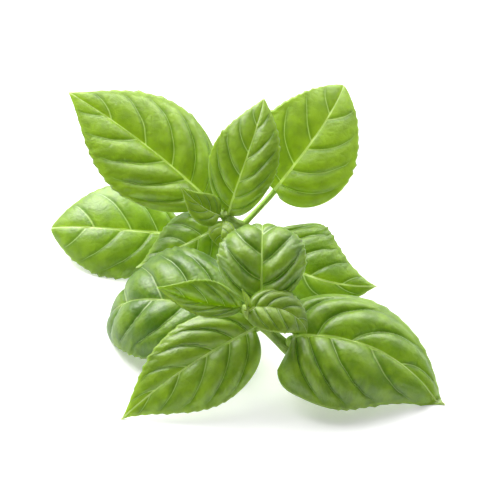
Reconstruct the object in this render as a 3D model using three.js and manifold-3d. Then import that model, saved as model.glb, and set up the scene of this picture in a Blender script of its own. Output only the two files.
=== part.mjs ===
// A bunch of sweet basil: two leafy shoot tops, cut from the plant and laid down together.
// Each shoot is a squarish stem that ends in a bud. Its leaves grow in opposite pairs, each pair a quarter
// turn round from the last.
// Millimetres, +Z up. The bunch lies on the plane z = 0, with the origin under the centre of its box.
import * as THREE from "three";
import { mergeVertices } from "three/addons/utils/BufferGeometryUtils.js";
import Module from "manifold-3d";

const wasm = await Module();
wasm.setup();

// --- Driving dimensions, in mm and degrees -------------------------------------------------------

const TABLE_Z = 0; // nothing reaches lower than the surface that the bunch lies on
const BLADE_THICKNESS = 0.7;
const JOINT_GAP = 0.3; // between a leafstalk's root and the stem that it grows from

// A side vein leaves the midrib at share^START_POWER of the blade's length and meets the margin at
// share^END_POWER, so the lowest veins fan out of the foot and all of them arch towards the tip.
const START_POWER = 1.6;
const END_POWER = 0.5;
const VEIN_SPRING = 0.6; // how straight a vein sets off before it bends forward
const FOOT_CROWDING = 4; // how closely the rows below the first side vein stand by the foot
const LEAST_STEP = 0.002; // from one of those rows to the next on the midrib, against its length
const FIRST_TOOTH = 0.33; // the foot of a blade has a plain edge
const TOOTH_DEPTH = 0.55;
const TOOTH_POWER = 1.2; // above 1 the deepest teeth are beyond the middle
const QUILT_SHARE = 0.06; // how far a blade swells up between two side veins, against its half width there
const QUILT_POWER = 0.8; // below 1 the swelling is highest nearer the midrib
const TIP_HALF_WIDTH = 0.45;
const KEEL_DEPTH = 0.5; // how far the midrib stands out under the blade's foot

// A large blade has two teeth for each side vein, and a small one has one. A half's columns run from the
// midrib to the margin.
const LARGE_BLADE = { rowsPerVein: 4, columns: [0, 0.24, 0.5, 0.76, 1] };
const SMALL_BLADE = { rowsPerVein: 2, columns: [0, 0.5, 1] };
const SMALL_HALF = 9; // a blade with both halves narrower than this is a small one

const STALK_RADIUS = 1.0;
const STALK_ROOT_RADIUS = 0.6;
const STALK_END_RADIUS = 0.45;
const STALK_REACH = 0.06; // the share of the blade that the stalk runs under
const STALK_SINK = 0.7; // how deep its middle lies there, against its radius
const STALK_SIDES = 6;
const SMALL_STALK = 0.6; // a small leaf's stalk, against a large one's

const STEM_RADIUS = 2;
const STEM_TIP_RADIUS = 1.2;
const STEM_SIDES = 8;
const STEM_STEPS = 24;
const STEM_CORNER = 1.14; // the corners of the squarish stem, against its flats
const STEM_FLAT = 0.92;
const STEM_REST_Z = 1.5; // the middle of a lying stem, which is pressed a little flat

const BUD_HALF = 0.17; // half a bud leaflet's width, against its length
const BUD_FOLD = [60, 20]; // the slope of its halves, by the midrib and at the margin
const BUD_DROOP = 10;

const LEAF_GREEN = "#5f9a2a";
const YOUNG_GREEN = "#86b53a";
const STEM_GREEN = "#7fae35";
const LEAF_ROUGHNESS = 0.45;
const STEM_ROUGHNESS = 0.5;

// --- The two shoots ------------------------------------------------------------------------------
// Headings turn from +X towards +Y, and pitches rise from level.
// A stem starts at its cut end, and its first two internodes lie on the table. Internodes, bud leaflets and
// leafstalks are each [length, heading, pitch]. A leaf grows from the node of that number.
// Its blade sets off with its heading and pitch. By its tip it has turned by its sweep and reached its end
// pitch, late where curl is above 1. roll lifts the left margin.
// halves: the widths from the midrib to the left and right margins. veins: the pairs of side veins.
// left, right: a half's slope beside the midrib and at its margin.
// belly moves the widest place towards the foot as it gets smaller. A small base makes a blunt foot, and
// lobes swell each half back past the stalk by that share of the length. point draws the tip out.

// What a leaf has unless it says otherwise.
const PLAIN_LEAF = { belly: 0.8, base: 0.6, lobes: [0, 0], point: 0.5, curl: 1 };

const SHOOTS = {
  front: {
    cutEnd: [49.5, -37],
    internodes: [[12, 180, 0], [12, 180, 8], [15, 170, 45], [11, 168, 46], [9, 206, 53], [3, 206, 75]],
    bud: [[9.5, 140, 80], [5, 320, 62], [4.5, 240, 58]],
    leaves: {
      low_left: {
        node: 3, stalk: [18, 138, 6], veins: 5, halves: [20, 22], belly: 0.88, base: 0.5, point: 0,
        length: 59.5, heading: 182, sweep: -45, pitch: 20, endPitch: -84, curl: 1.6,
        roll: -25, left: [5, -40], right: [10, -30],
      },
      low_right: {
        node: 3, stalk: [5.5, 340, 65], veins: 4, halves: [19.3, 23], belly: 0.6, base: 0.38,
        lobes: [0.06, 0.125], point: 1, length: 59.5, heading: 0, sweep: -30, pitch: 6, endPitch: -64,
        curl: 1.2, roll: 18, left: [10, -30], right: [5, -42],
      },
      mid_top: {
        node: 4, stalk: [6, 99, 50], veins: 4, halves: [14.5, 14.5], point: 0.3,
        length: 37, heading: 89, sweep: 0, pitch: 62, endPitch: -80, curl: 2,
        roll: 0, left: [20, -30], right: [20, -30],
      },
      mid_left: {
        node: 4, stalk: [3.2, 205, -8], veins: 5, halves: [16, 13], belly: 0.68, base: 0.5, point: 0.8,
        length: 52, heading: 208, sweep: -8, pitch: -8, endPitch: -42,
        roll: -35, left: [15, -30], right: [25, -25],
      },
      small_left: {
        node: 5, stalk: [3, 172, 48], veins: 4, halves: [5.5, 8],
        length: 28.5, heading: 184, sweep: 0, pitch: 6, endPitch: 36,
        roll: -40, left: [50, 10], right: [45, 20],
      },
      small_right: {
        node: 5, stalk: [1.8, 40, 50], veins: 4, halves: [7, 8], belly: 0.7, base: 0.4, lobes: [0, 0.08],
        length: 22.5, heading: 0, sweep: -10, pitch: 14, endPitch: -78, curl: 1.2,
        roll: 25, left: [15, -20], right: [15, -20],
      },
    },
  },
  back: {
    cutEnd: [31.5, 18],
    internodes: [
      [6, 180, 0], [8, 184, 20], [16, 190, 52], [11, 202, 42], [6, 205, 45], [3, 205, 50], [1.5, 205, 70],
    ],
    bud: [[3, 100, 60], [2.5, 330, 50]],
    leaves: {
      high_left: {
        node: 4, stalk: [14, 150, 25], veins: 5, halves: [19, 19],
        length: 60, heading: 147, sweep: 8, pitch: 31, endPitch: 20,
        roll: -25, left: [20, -20], right: [20, -20],
      },
      high_right: {
        node: 4, stalk: [16.8, 42, 27], veins: 4, halves: [17.5, 18], belly: 0.66, base: 0.75,
        lobes: [0, 0.06], point: 0, length: 46, heading: 30, sweep: 44, pitch: 46, endPitch: 8,
        roll: 32, left: [15, -10], right: [15, -20],
      },
      low_left: {
        node: 3, stalk: [30, 160, -13], veins: 4, halves: [17, 18], belly: 0.9, point: 0.1,
        length: 48, heading: 188, sweep: -32, pitch: 8, endPitch: -26, curl: 2,
        roll: -25, left: [5, -45], right: [15, -20],
      },
      low_right: {
        node: 3, stalk: [3, 265, 20], veins: 5, halves: [18.5, 14], belly: 0.7, base: 0.5, point: 0.7,
        length: 48, heading: 284, sweep: 95, pitch: 6, endPitch: -12,
        roll: 25, left: [25, -20], right: [-10, -50],
      },
      mid_top: {
        node: 5, stalk: [2.2, 100, 60], veins: 5, halves: [12.5, 11], base: 0.55,
        length: 41.5, heading: 44, sweep: 35, pitch: 72, endPitch: 24,
        roll: 10, left: [20, -20], right: [20, -20],
      },
      mid_left: {
        node: 5, stalk: [5.2, 215, -11], veins: 4, halves: [11, 12], belly: 0.65, point: 0.8,
        base: 0.6, length: 31, heading: 192, sweep: -10, pitch: -28, endPitch: -27,
        roll: -20, left: [-20, -60], right: [20, -20],
      },
      small_left: {
        node: 6, stalk: [3, 225, 36], veins: 4, halves: [5.5, 5.5], belly: 0.5, point: 1,
        length: 17, heading: 175, sweep: -30, pitch: 22, endPitch: 46,
        roll: -35, left: [15, -10], right: [15, -10],
      },
      small_front: {
        node: 6, stalk: [2.5, 262, -10], veins: 3, halves: [4.5, 4.5],
        length: 10, heading: 262, sweep: 0, pitch: 10, endPitch: -80,
        roll: 0, left: [20, -10], right: [20, -10],
      },
    },
  },
};

// --- Geometry helpers ----------------------------------------------------------------------------

const mix = THREE.MathUtils.lerp;
const rad = THREE.MathUtils.degToRad;

function direction(heading, pitch) {
  const level = Math.cos(rad(pitch));
  return new THREE.Vector3(
    level * Math.cos(rad(heading)),
    level * Math.sin(rad(heading)),
    Math.sin(rad(pitch)),
  );
}

// A closed mesh from rings of equal length, joined in order, with a flat cap at both ends.
function closedLoft(rings) {
  const around = rings[0].length;
  const index = [];
  for (let i = 0; i + 1 < rings.length; i++)
    for (let j = 0; j < around; j++) {
      const a = i * around + j;
      const b = i * around + ((j + 1) % around);
      index.push(a, b, a + around, b, b + around, a + around);
    }
  const last = (rings.length - 1) * around;
  for (let j = 1; j + 1 < around; j++) {
    index.push(0, j + 1, j);
    index.push(last, last + j, last + j + 1);
  }
  return solidOf(rings.flat(), index);
}

// A tube of changing radius. Each frame is a ring's centre, its radius and the two directions across it.
function taperedTube(frames, sides, outline = () => 1) {
  const rings = frames.map(({ centre, radius, across, up }) =>
    Array.from({ length: sides }, (_, k) => {
      const angle = (2 * Math.PI * k) / sides;
      const reach = radius * outline(k);
      const p = centre.clone()
        .addScaledVector(across, reach * Math.cos(angle))
        .addScaledVector(up, reach * Math.sin(angle));
      p.z = Math.max(p.z, TABLE_Z);
      return p;
    }),
  );
  return closedLoft(rings);
}

function solidOf(points, index) {
  const loose = new THREE.BufferGeometry().setFromPoints(points);
  loose.setIndex(index);
  const merged = mergeVertices(loose, 1e-4);
  return new wasm.Manifold(
    new wasm.Mesh({
      numProp: 3,
      vertProperties: merged.attributes.position.array,
      triVerts: new Uint32Array(merged.index.array),
    }),
  );
}

// A solid's one body: hollows sealed inside it are filled, and loose scraps are dropped.
function wholeBody(solid) {
  return solid.decompose().reduce((largest, body) => (body.volume() > largest.volume() ? body : largest));
}

function geometryOf(solid) {
  const mesh = wholeBody(solid).getMesh();
  const geometry = new THREE.BufferGeometry();
  geometry.setAttribute("position", new THREE.BufferAttribute(mesh.vertProperties, 3));
  geometry.setIndex(new THREE.BufferAttribute(mesh.triVerts, 1));
  geometry.computeVertexNormals();
  return geometry;
}

// --- A leaf --------------------------------------------------------------------------------------

const MIDRIB_STEPS = 48;

const isSmall = (leaf) => Math.max(...leaf.halves) < SMALL_HALF;

// The midrib and the frame along it: along points to the tip, left to the left margin, and face upwards.
function midribOf(leaf, foot) {
  const headingAt = (u) => leaf.heading + leaf.sweep * u;
  const alongAt = (u) => direction(headingAt(u), mix(leaf.pitch, leaf.endPitch, Math.pow(u, leaf.curl)));
  const points = [foot.clone()];
  for (let i = 0; i < MIDRIB_STEPS; i++) {
    const step = alongAt((i + 0.5) / MIDRIB_STEPS).multiplyScalar(leaf.length / MIDRIB_STEPS);
    points.push(points[i].clone().add(step));
  }
  return (u) => {
    const i = THREE.MathUtils.clamp(Math.floor(u * MIDRIB_STEPS), 0, MIDRIB_STEPS - 1);
    const centre = points[i].clone().lerp(points[i + 1], u * MIDRIB_STEPS - i);
    const along = alongAt(Math.max(u, 0));
    const left = direction(headingAt(u) + 90, 0).applyAxisAngle(along, rad(leaf.roll));
    const face = new THREE.Vector3().crossVectors(along, left);
    return { centre, along, left, face };
  };
}

// How far a half reaches out, against its widest: it has a broad round foot and a drawn-out tip.
function reachAt(leaf, share) {
  const oval = Math.max(Math.sin(Math.PI * Math.pow(share, leaf.belly)), 0);
  return Math.pow(oval, leaf.base + leaf.point * share);
}

// How far the margin stands out at a row: between foot and tip, every second row is the point of a tooth.
function toothAt(row, rows, edge) {
  const isPoint = row % 2 === 1 && edge > FIRST_TOOTH && row < rows - 1;
  return isPoint ? TOOTH_DEPTH * Math.sin(Math.PI * Math.pow(edge, TOOTH_POWER)) : 0;
}

// A row's share of the way from the foot to the tip. Below the first side vein, rows crowd towards the foot.
function shareOf(row, rows, rowsPerVein) {
  const fromFoot = row / rowsPerVein;
  return ((fromFoot < 1 ? Math.pow(fromFoot, FOOT_CROWDING) : fromFoot) * rowsPerVein) / rows;
}

// A point of the blade's middle surface, at a row and at a column from -1 at the right margin to 1.
function bladePoint(leaf, midrib, row, rows, column, rowsPerVein) {
  const share = shareOf(row, rows, rowsPerVein);
  const side = column > 0 ? 0 : 1;
  const t = Math.abs(column);
  const start = Math.max(Math.pow(share, START_POWER), row * LEAST_STEP);
  const edge = Math.pow(share, END_POWER);
  const reach = reachAt(leaf, edge);
  const end = edge - leaf.lobes[side] * Math.sqrt(reach * (2 - reach)) * Math.pow(1 - edge, 2);
  const u = start + (end - start) * t * (VEIN_SPRING + (1 - VEIN_SPRING) * t);
  const plain = Math.max(leaf.halves[side] * reach, TIP_HALF_WIDTH);
  const width = plain + toothAt(row, rows, edge) * t * t;
  const [slope, marginSlope] = (column > 0 ? leaf.left : leaf.right).map(rad);
  const bend = marginSlope - slope;
  const out = (width / bend) * (Math.sin(slope + bend * t) - Math.sin(slope));
  const rise = (-width / bend) * (Math.cos(slope + bend * t) - Math.cos(slope));
  const betweenVeins = Math.abs(Math.sin((Math.PI * row) / rowsPerVein));
  const quilt = QUILT_SHARE * plain * betweenVeins * Math.sin(Math.PI * Math.pow(t, QUILT_POWER));
  const { centre, left, face } = midrib(u);
  return centre.clone()
    .addScaledVector(left, Math.sign(column) * out)
    .addScaledVector(face, rise + quilt);
}

function bladeOf(leaf, midrib) {
  const { rowsPerVein, columns: halfColumns } = isSmall(leaf) ? SMALL_BLADE : LARGE_BLADE;
  const rows = rowsPerVein * (leaf.veins + 1);
  const columns = [...halfColumns.slice(1).reverse().map((c) => -c), ...halfColumns];
  const middle = halfColumns.length - 1;
  const grid = Array.from({ length: rows + 1 }, (_, row) =>
    columns.map((column) => bladePoint(leaf, midrib, row, rows, column, rowsPerVein)),
  );
  const at = (row, k) =>
    grid[THREE.MathUtils.clamp(row, 0, rows)][THREE.MathUtils.clamp(k, 0, columns.length - 1)];
  const faces = grid.map((line, row) => {
    const upper = [];
    const lower = [];
    line.forEach((p, k) => {
      const forward = at(row + 1, k).clone().sub(at(row - 1, k));
      const leftward = at(row, k + 1).clone().sub(at(row, k - 1));
      const normal = forward.cross(leftward).normalize();
      const keel = k === middle ? KEEL_DEPTH * (1 - row / rows) : 0;
      const top = p.clone().addScaledVector(normal, BLADE_THICKNESS / 2);
      const under = p.clone().addScaledVector(normal, -BLADE_THICKNESS / 2 - keel);
      top.z = Math.max(top.z, TABLE_Z + BLADE_THICKNESS);
      under.z = Math.max(under.z, TABLE_Z);
      upper.push(top);
      lower.push(under);
    });
    return { upper, lower };
  });
  return sheetSolid(faces, columns.length);
}

// A closed sheet from rows of upper and lower points, with both faces split into triangles alike.
function sheetSolid(rows, across) {
  const points = rows.flatMap(({ upper, lower }) => [...upper, ...lower]);
  const up = (i, k) => i * 2 * across + k;
  const down = (i, k) => up(i, k) + across;
  const index = [];
  const last = rows.length - 1;
  const edge = across - 1;
  const quad = (a, b, c, d) => index.push(a, b, c, a, c, d);
  for (let i = 0; i < last; i++) {
    for (let k = 0; k < edge; k++) {
      quad(up(i, k), up(i + 1, k), up(i + 1, k + 1), up(i, k + 1));
      index.push(down(i, k), down(i + 1, k + 1), down(i + 1, k));
      index.push(down(i, k), down(i, k + 1), down(i + 1, k + 1));
    }
    quad(down(i, 0), down(i + 1, 0), up(i + 1, 0), up(i, 0));
    quad(up(i, edge), up(i + 1, edge), down(i + 1, edge), down(i, edge));
  }
  for (let k = 0; k < edge; k++) {
    quad(down(0, k), up(0, k), up(0, k + 1), down(0, k + 1));
    quad(up(last, k), down(last, k), down(last, k + 1), up(last, k + 1));
  }
  return solidOf(points, index);
}

// The stalk from the stem's middle to the blade's foot, running on a little way under the blade.
function stalkOf(leaf, midrib, root) {
  const foot = midrib(0);
  const reach = leaf.stalk[0] / 3;
  const curve = new THREE.CubicBezierCurve3(
    root,
    root.clone().lerp(foot.centre, 1 / 3),
    foot.centre.clone().addScaledVector(foot.along, -reach),
    foot.centre,
  );
  const size = isSmall(leaf) ? SMALL_STALK : 1;
  const frames = [];
  for (const u of [0, 0.25, 0.5, 0.75]) {
    const along = curve.getTangent(u);
    const across = foot.left.clone().addScaledVector(along, -foot.left.dot(along)).normalize();
    const up = new THREE.Vector3().crossVectors(along, across);
    const radius = size * (u === 0 ? STALK_ROOT_RADIUS : STALK_RADIUS);
    frames.push({ centre: curve.getPoint(u), radius, across, up });
  }
  for (const u of [0, STALK_REACH]) {
    const { centre, left, face } = midrib(u);
    const radius = size * (u === 0 ? STALK_RADIUS : STALK_END_RADIUS);
    centre.addScaledVector(face, -radius * STALK_SINK);
    frames.push({ centre, radius, across: left, up: face });
  }
  return taperedTube(frames, STALK_SIDES);
}

// --- A stem --------------------------------------------------------------------------------------

function nodesOf(shoot) {
  const nodes = [new THREE.Vector3(0, 0, STEM_REST_Z)];
  for (const [length, heading, pitch] of shoot.internodes)
    nodes.push(nodes.at(-1).clone().addScaledVector(direction(heading, pitch), length));
  return nodes;
}

function stemOf(nodes, extra = 0) {
  const curve = new THREE.CatmullRomCurve3(nodes);
  const frames = [];
  let across = new THREE.Vector3(0, 1, 0);
  for (let i = 0; i <= STEM_STEPS; i++) {
    const u = i / STEM_STEPS;
    const along = curve.getTangent(u);
    across = across.clone().addScaledVector(along, -across.dot(along)).normalize();
    const up = new THREE.Vector3().crossVectors(along, across);
    const radius = mix(STEM_RADIUS, STEM_TIP_RADIUS, u * u) + extra;
    frames.push({ centre: curve.getPoint(u), radius, across, up });
  }
  return taperedTube(frames, STEM_SIDES, (k) => (k % 2 ? STEM_CORNER : STEM_FLAT));
}

// A leaflet of the bud: a small folded blade that grows straight out of the stem's end.
function leafletOf([length, heading, pitch], root) {
  const leaflet = {
    ...PLAIN_LEAF, length, heading, sweep: 0, pitch, endPitch: pitch - BUD_DROOP, roll: 0, veins: 2,
    halves: [length * BUD_HALF, length * BUD_HALF], left: BUD_FOLD, right: BUD_FOLD,
  };
  return bladeOf(leaflet, midribOf(leaflet, root));
}

// --- The bunch -----------------------------------------------------------------------------------

function named(name, solid, colour, roughness) {
  const material = new THREE.MeshStandardMaterial({ color: colour, roughness, metalness: 0 });
  const mesh = new THREE.Mesh(geometryOf(solid), material);
  mesh.name = name;
  return mesh;
}

// A shoot in a frame of its own, with its cut end over the origin.
function shootOf(name, shoot) {
  const group = new THREE.Group();
  group.name = name;
  const nodes = nodesOf(shoot);
  const leaflets = shoot.bud.map((leaflet) => leafletOf(leaflet, nodes.at(-2)));
  const stem = leaflets.reduce((whole, leaflet) => whole.add(leaflet), stemOf(nodes));
  group.add(named(`${name}_stem`, stem, STEM_GREEN, STEM_ROUGHNESS));
  const room = stemOf(nodes, JOINT_GAP);
  for (const [leafName, own] of Object.entries(shoot.leaves)) {
    const leaf = { ...PLAIN_LEAF, ...own };
    const root = nodes[leaf.node];
    const [stalkLength, stalkHeading, stalkPitch] = leaf.stalk;
    const foot = root.clone().addScaledVector(direction(stalkHeading, stalkPitch), stalkLength);
    const midrib = midribOf(leaf, foot);
    const solid = bladeOf(leaf, midrib).add(stalkOf(leaf, midrib, root)).subtract(room);
    const colour = isSmall(leaf) ? YOUNG_GREEN : LEAF_GREEN;
    group.add(named(`${name}_leaf_${leafName}`, solid, colour, LEAF_ROUGHNESS));
  }
  return group;
}

const bunch = new THREE.Group();
bunch.name = "basil_bunch";
for (const [name, shoot] of Object.entries(SHOOTS)) {
  const group = shootOf(name, shoot);
  group.position.set(...shoot.cutEnd, TABLE_Z);
  bunch.add(group);
}

export default bunch;
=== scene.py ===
# %% [markdown]
# # A bunch of sweet basil
# Two leafy shoot tops lie on a white table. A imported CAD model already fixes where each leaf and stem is,
# and this script dresses it: each rough solid gets a finer piece in the same place, with veins, teeth and a
# living surface. Everything is in metres, and the table is the plane z = 0.

import math

import bpy
from mathutils import Matrix, Vector


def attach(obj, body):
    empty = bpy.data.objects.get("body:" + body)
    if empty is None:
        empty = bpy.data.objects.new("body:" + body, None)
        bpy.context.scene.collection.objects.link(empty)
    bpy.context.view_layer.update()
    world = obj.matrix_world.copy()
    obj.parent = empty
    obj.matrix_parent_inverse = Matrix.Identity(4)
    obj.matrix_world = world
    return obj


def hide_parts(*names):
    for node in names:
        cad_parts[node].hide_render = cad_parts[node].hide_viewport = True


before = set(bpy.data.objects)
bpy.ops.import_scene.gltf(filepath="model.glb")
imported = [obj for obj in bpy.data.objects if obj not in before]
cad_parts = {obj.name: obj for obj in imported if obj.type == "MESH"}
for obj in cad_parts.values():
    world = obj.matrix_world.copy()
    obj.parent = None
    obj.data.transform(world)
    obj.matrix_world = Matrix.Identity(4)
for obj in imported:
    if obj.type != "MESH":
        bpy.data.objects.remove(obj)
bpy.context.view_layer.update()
MM = 0.001

# %% [markdown]
# ## Where each leaf grows
# Basil leaves grow in opposite pairs, each pair a quarter turn round from the last, and the stem ends in a
# bud. Every leaf could be sculpted by hand. Here a few sizes stand for each one, because the same sizes
# drive the CAD solids, so the fine leaf and the rough one stay in step. Lengths are in mm and angles in
# degrees.
#
# - cut_end: where the stem was cut; internodes: the length, heading and pitch from each node to the next
# - node: the stem's node that carries a leaf; stalk: the length, heading and pitch of its stalk
# - length: of the midrib; heading and sweep: where it points, and how far it has turned by its tip
# - pitch and end_pitch: how steeply it rises at its foot and at its tip; curl: above 1, it bends late
# - halves: how wide the left and the right half are; lobes: how far each reaches back past the foot
# - belly: below 1, broadest nearer the foot
# - base and point: how drawn in the foot is, and how much more the tip
# - roll: the turn about the midrib; left and right: how each half slopes by the midrib and at its margin
# - veins: side veins on each half; lean: above 1, they leave the midrib nearer the foot
# - stagger: how far out of step the right half's side veins are
# - quilt: how strongly the blade swells between them; age: from a young leaf, 0, to an old one, 1
#
# The last four, from lean to age, are for the finer pieces alone. The CAD solids are all quilted alike.

# %% The shoots' sizes
STEM_REST = 1.5  # mm from the table to the middle of a lying stem
PLAIN_LEAF = dict(
    belly=0.8, base=0.6, point=0.5, lobes=(0, 0), curl=1, quilt=1.0, lean=1.6, stagger=0.3, age=0.6,
)
SHOOTS = {
    "front": dict(
        cut_end=(49.5, -37),
        internodes=[(12, 180, 0), (12, 180, 8), (15, 170, 45), (11, 168, 46), (9, 206, 53), (3, 206, 75)],
        bud=[(9.5, 140, 80), (5, 320, 62), (4.5, 240, 58)],
        leaves={
            "low_left": dict(
                node=3, stalk=(18, 138, 6), veins=5, halves=(20, 22), belly=0.88, base=0.5, point=0,
                length=59.5, heading=182, sweep=-45, pitch=20, end_pitch=-84, curl=1.6,
                roll=-25, left=(5, -40), right=(10, -30), quilt=1.05, age=1.0,
            ),
            "low_right": dict(
                node=3, stalk=(5.5, 340, 65), veins=4, halves=(19.3, 23), belly=0.6, base=0.38, point=1,
                curl=1.2, length=59.5, heading=0, sweep=-30, pitch=6, end_pitch=-64, lobes=(0.06, 0.125),
                roll=18, left=(10, -30), right=(5, -42), quilt=1.6, lean=2.3, age=0.7, stagger=0.6,
            ),
            "mid_top": dict(
                node=4, stalk=(6, 99, 50), veins=4, halves=(14.5, 14.5), point=0.3,
                length=37, heading=89, sweep=0, pitch=62, end_pitch=-80, curl=2,
                roll=0, left=(20, -30), right=(20, -30), quilt=1.9, age=0.8,
            ),
            "mid_left": dict(
                node=4, stalk=(3.2, 205, -8), veins=5, halves=(16, 13), belly=0.68, base=0.5, point=0.8,
                length=52, heading=208, sweep=-8, pitch=-8, end_pitch=-42,
                roll=-35, left=(15, -30), right=(25, -25), quilt=1.1, age=0.55,
            ),
            "small_left": dict(
                node=5, stalk=(3, 172, 48), veins=4, halves=(5.5, 8),
                length=28.5, heading=184, sweep=0, pitch=6, end_pitch=36,
                roll=-40, left=(50, 10), right=(45, 20), age=0.75, quilt=1.4,
            ),
            "small_right": dict(
                node=5, stalk=(1.8, 40, 50), veins=4, halves=(7, 8), belly=0.7, base=0.4, lobes=(0, 0.08),
                length=22.5, heading=0, sweep=-10, pitch=14, end_pitch=-78, curl=1.2,
                roll=25, left=(15, -20), right=(15, -20), age=0.6,
            ),
        },
    ),
    "back": dict(
        cut_end=(31.5, 18),
        internodes=[
            (6, 180, 0), (8, 184, 20), (16, 190, 52), (11, 202, 42),
            (6, 205, 45), (3, 205, 50), (1.5, 205, 70),
        ],
        bud=[(3, 100, 60), (2.5, 330, 50)],
        leaves={
            "high_left": dict(
                node=4, stalk=(14, 150, 25), veins=5, halves=(19, 19),
                length=60, heading=147, sweep=8, pitch=31, end_pitch=20,
                roll=-25, left=(20, -20), right=(20, -20), quilt=1.15, age=0.45,
            ),
            "high_right": dict(
                node=4, stalk=(16.8, 42, 27), veins=4, halves=(17.5, 18), belly=0.66, point=0,
                base=0.75, lobes=(0, 0.06), length=46, heading=30, sweep=44, pitch=46, end_pitch=8,
                roll=32, left=(15, -10), right=(15, -20), quilt=0.75, age=0.4,
            ),
            "low_left": dict(
                node=3, stalk=(30, 160, -13), veins=4, halves=(17, 18), belly=0.9, point=0.1,
                length=48, heading=188, sweep=-32, pitch=8, end_pitch=-26, curl=2,
                roll=-25, left=(5, -45), right=(15, -20), quilt=0.5, age=0.65,
            ),
            "low_right": dict(
                node=3, stalk=(3, 265, 20), veins=5, halves=(18.5, 14), base=0.5, point=0.7,
                belly=0.7, length=48, heading=284, sweep=95, pitch=6, end_pitch=-12,
                roll=25, left=(25, -20), right=(-10, -50), quilt=0.7, age=0.7,
            ),
            "mid_top": dict(
                node=5, stalk=(2.2, 100, 60), veins=5, halves=(12.5, 11),
                base=0.55, length=41.5, heading=44, sweep=35, pitch=72, end_pitch=24,
                roll=10, left=(20, -20), right=(20, -20), quilt=0.95, age=0.5,
            ),
            "mid_left": dict(
                node=5, stalk=(5.2, 215, -11), veins=4, halves=(11, 12),
                belly=0.65, point=0.8, base=0.6, length=31, heading=192, sweep=-10, pitch=-28, end_pitch=-27,
                roll=-20, left=(-20, -60), right=(20, -20), age=0.8,
            ),
            "small_left": dict(
                node=6, stalk=(3, 225, 36), veins=4, halves=(5.5, 5.5),
                belly=0.5, point=1, length=17, heading=175, sweep=-30, pitch=22, end_pitch=46,
                roll=-35, left=(15, -10), right=(15, -10), age=0.5, quilt=0.5,
            ),
            "small_front": dict(
                node=6, stalk=(2.5, 262, -10), veins=3, halves=(4.5, 4.5),
                length=10, heading=262, sweep=0, pitch=10, end_pitch=-80,
                roll=0, left=(20, -10), right=(20, -10), age=0.3, quilt=0.3,
            ),
        },
    ),
}
print("leaves:", {name: len(shoot["leaves"]) for name, shoot in SHOOTS.items()})

# %% [markdown]
# ## Writing node trees like sums
# Geometry Nodes and shaders are both networks of small boxes, which could be placed and joined by hand. A
# long formula needs dozens of them, so a Wire stands for one output and turns +, -, * and / into Math
# boxes. The trees below then read like the sums that they are.

# %% Wires and nodes
def plug(tree, socket, value):
    """Joins a Wire to an input, or sets a plain value on it."""
    if isinstance(value, Wire):
        tree.links.new(value.socket, socket)
    else:
        socket.default_value = value


def node(tree, kind, inputs=(), output=0, **settings):
    """A new node with its settings and inputs, given by place or by name, as a Wire from one output."""
    made = tree.nodes.new(kind)
    for name, setting in settings.items():
        setattr(made, name, setting)
    for key, value in inputs.items() if isinstance(inputs, dict) else enumerate(inputs):
        plug(tree, made.inputs[key], value)
    return Wire(tree, made.outputs[output])


class Wire:
    """One output of a node. Sums of Wires become Math nodes, or Vector Math nodes where one is a vector."""

    def __init__(self, tree, socket):
        self.tree, self.socket = tree, socket

    def also(self, output):
        """Another output of the same node."""
        return Wire(self.tree, self.socket.node.outputs[output])

    def is_vector(self):
        return self.socket.type == "VECTOR"

    def sum_with(self, other, operation):
        if self.is_vector() or (isinstance(other, Wire) and other.is_vector()):
            return node(self.tree, "ShaderNodeVectorMath", [self, other], operation=operation)
        return node(self.tree, "ShaderNodeMath", [self, other], operation=operation)

    def __add__(self, other):
        return self.sum_with(other, "ADD")

    def __sub__(self, other):
        return self.sum_with(other, "SUBTRACT")

    def __mul__(self, other):
        if self.is_vector():
            return node(self.tree, "ShaderNodeVectorMath", {0: self, "Scale": other}, operation="SCALE")
        return self.sum_with(other, "MULTIPLY")

    def __truediv__(self, other):
        return self.sum_with(other, "DIVIDE")

    def __pow__(self, power):
        return self.sum_with(power, "POWER")

    def __rsub__(self, other):
        return node(self.tree, "ShaderNodeMath", [other, self], operation="SUBTRACT")

    def __rtruediv__(self, other):
        return node(self.tree, "ShaderNodeMath", [other, self], operation="DIVIDE")

    __radd__, __rmul__ = __add__, __mul__


def math_of(operation, first, *more):
    return node(first.tree, "ShaderNodeMath", [first, *more], operation=operation)


def vector_of(operation, first, *more):
    return node(first.tree, "ShaderNodeVectorMath", [first, *more], operation=operation)


def combine(tree, x=0.0, y=0.0, z=0.0):
    return node(tree, "ShaderNodeCombineXYZ", [x, y, z])


def parts(vector):
    x = node(vector.tree, "ShaderNodeSeparateXYZ", [vector])
    return x, x.also(1), x.also(2)


def mix(a, b, share):
    """From a to b as the share goes from 0 to 1, for numbers and for Wires."""
    return a + (b - a) * share


def ramp(value, low, high):
    """0 below low, 1 above high, and a smooth rise between them."""
    return node(value.tree, "ShaderNodeMapRange", [value, low, high], interpolation_type="SMOOTHSTEP")


print("helpers ready")

# %% Node groups with named sockets
def new_group(kind, name, inputs, outputs):
    """A node group, with its inputs as a dict of Wires. inputs holds (socket type, value) for each name."""
    tree = bpy.data.node_groups.new(name, kind)
    for label, (socket_type, value) in inputs.items():
        socket = tree.interface.new_socket(label, in_out="INPUT", socket_type="NodeSocket" + socket_type)
        if value is not None:
            socket.default_value = value
    for label, socket_type in outputs.items():
        tree.interface.new_socket(label, in_out="OUTPUT", socket_type="NodeSocket" + socket_type)
    entry = tree.nodes.new("NodeGroupInput")
    return tree, {label: Wire(tree, entry.outputs[label]) for label in inputs}


def close_group(tree, results):
    """Joins the results to the group's outputs."""
    end = tree.nodes.new("NodeGroupOutput")
    for label, value in results.items():
        plug(tree, end.inputs[label], value)
    print(f"{tree.name}: {len(tree.nodes)} nodes")


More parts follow.
